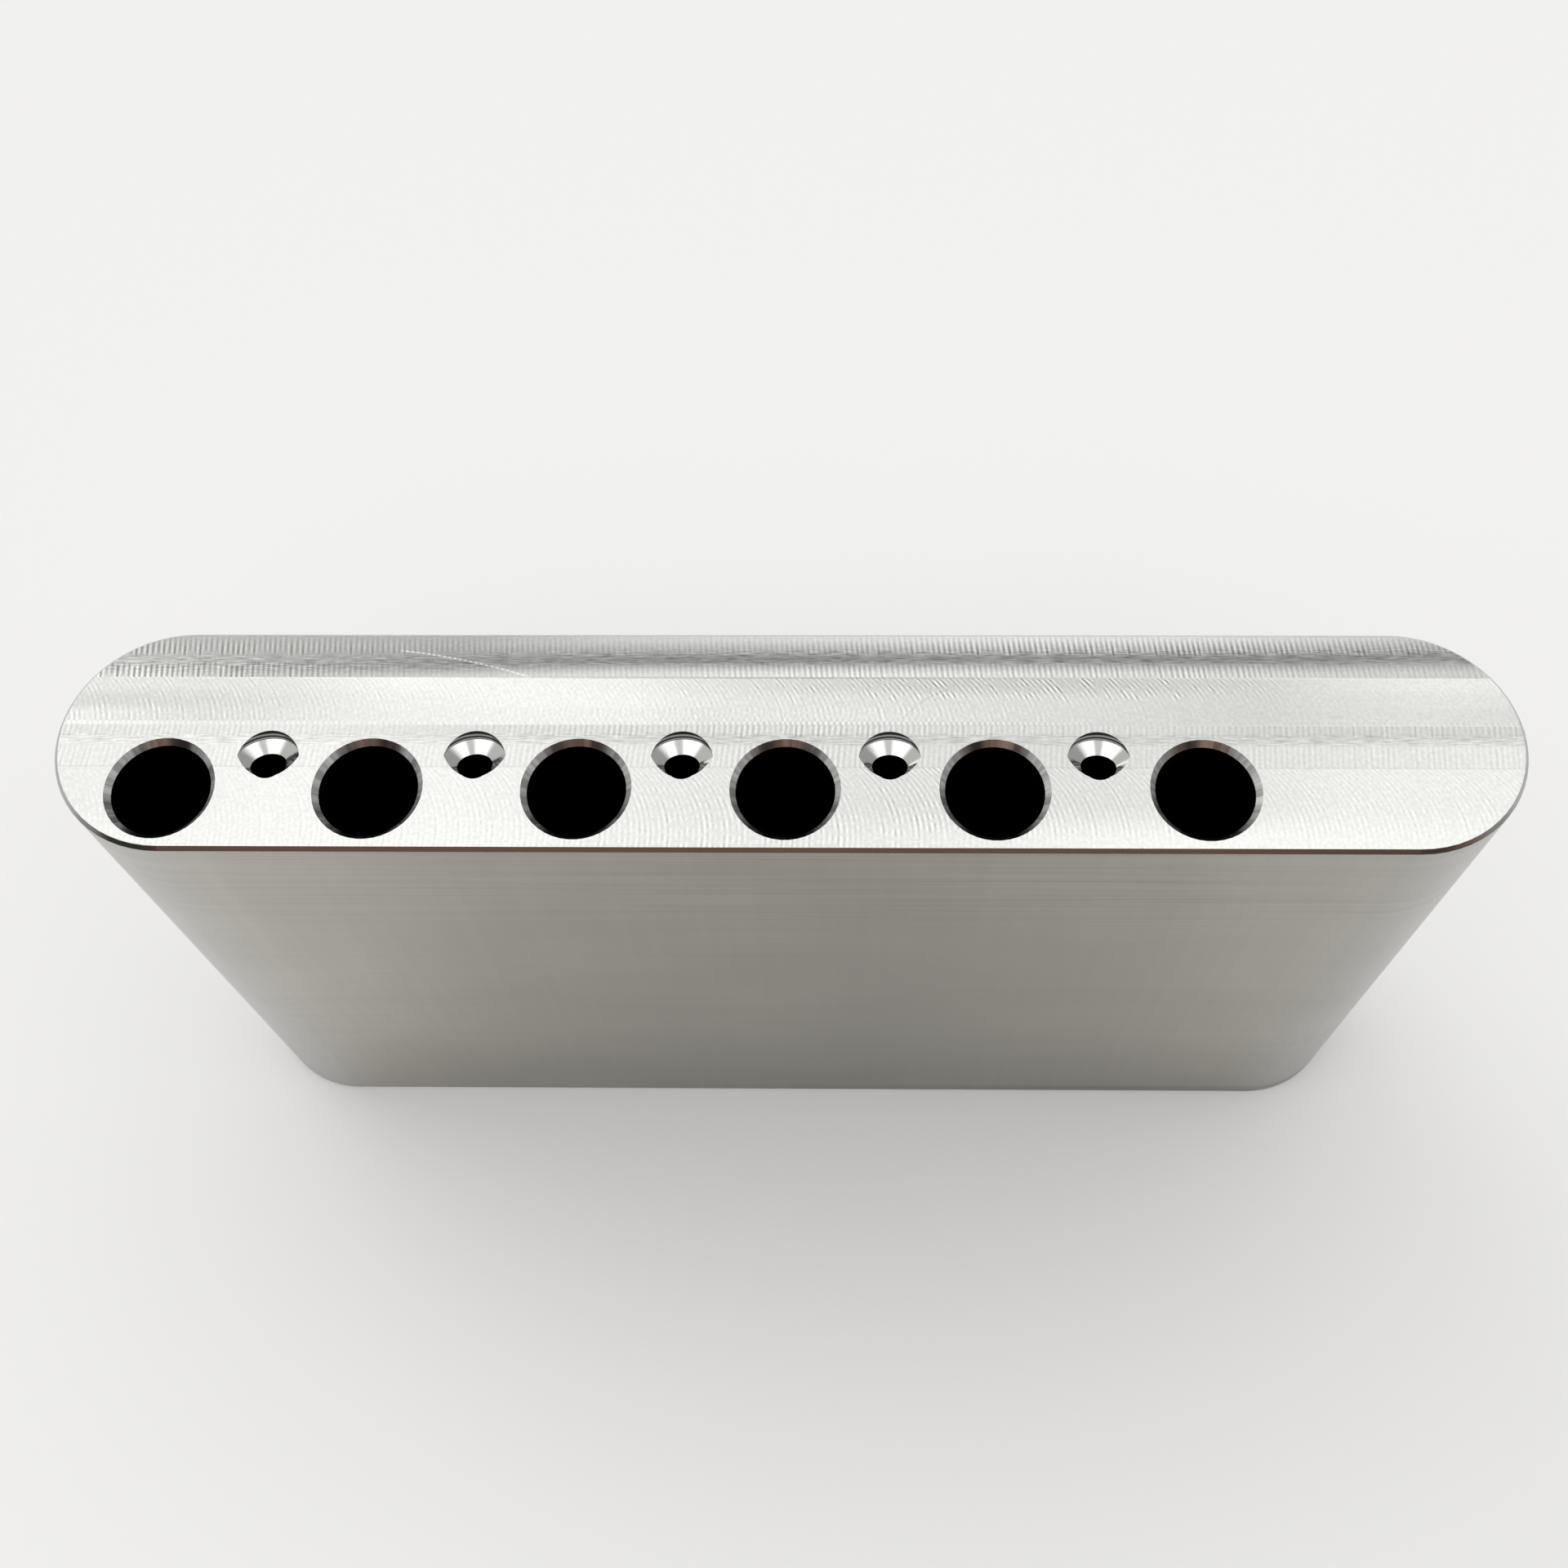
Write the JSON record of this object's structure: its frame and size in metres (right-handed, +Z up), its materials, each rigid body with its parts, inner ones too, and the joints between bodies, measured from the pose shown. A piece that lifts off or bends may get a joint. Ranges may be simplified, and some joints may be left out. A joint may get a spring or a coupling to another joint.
{
  "type": "guitar tremolo block",
  "caption": "Milled aluminium bar with fully rounded ends, drilled for guitar strings and tremolo springs, that hangs under a bridge plate as its inertia block.",
  "frame": {"origin": "middle of the plate end, on the face that screws under the bridge plate", "axes": "+X along the string row to the arm end, +Y from the string side to the back, +Z up the bores to the spring end"},
  "size_m": [0.0746, 0.0124, 0.042],
  "materials": {
    "milled_aluminium": "bare, as milled: cutter arcs on the ends, fine lengthwise brushing on the sides, bright drilled holes"
  },
  "bodies": {
    "root": {"tremolo_block": "milled_aluminium"}
  },
  "joints": []
}
